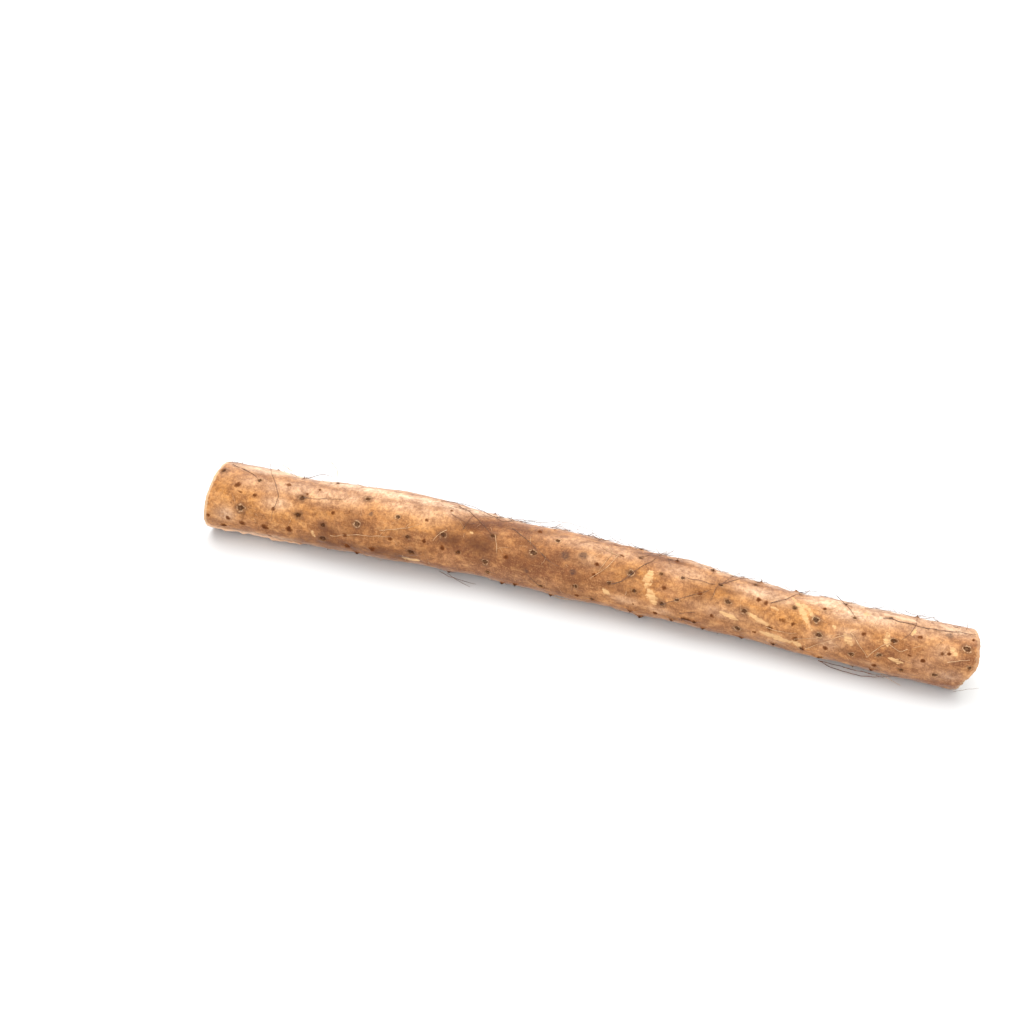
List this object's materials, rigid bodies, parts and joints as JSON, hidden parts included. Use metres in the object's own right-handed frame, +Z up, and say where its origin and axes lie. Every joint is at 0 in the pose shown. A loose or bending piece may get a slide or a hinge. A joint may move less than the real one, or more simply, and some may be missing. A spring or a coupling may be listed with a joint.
{
  "type": "chinese yam",
  "caption": "Length of Chinese yam cut across at both ends: a slightly bowed stick that thins along its length, with raised rootlet scars and white cut faces, lying flat.",
  "frame": {"origin": "on the surface that the root lies on, under the middle of the root's box", "axes": "+X runs along the root from its thick end to its thin end, +Z is up, and -Y is the side that the picture shows"},
  "size_m": [0.4028, 0.0422, 0.0371],
  "materials": {
    "yam_skin": "matte",
    "yam_flesh": "satin",
    "rootlet": "matte"
  },
  "bodies": {
    "root": {"yam_root": "yam_skin"}
  },
  "joints": []
}
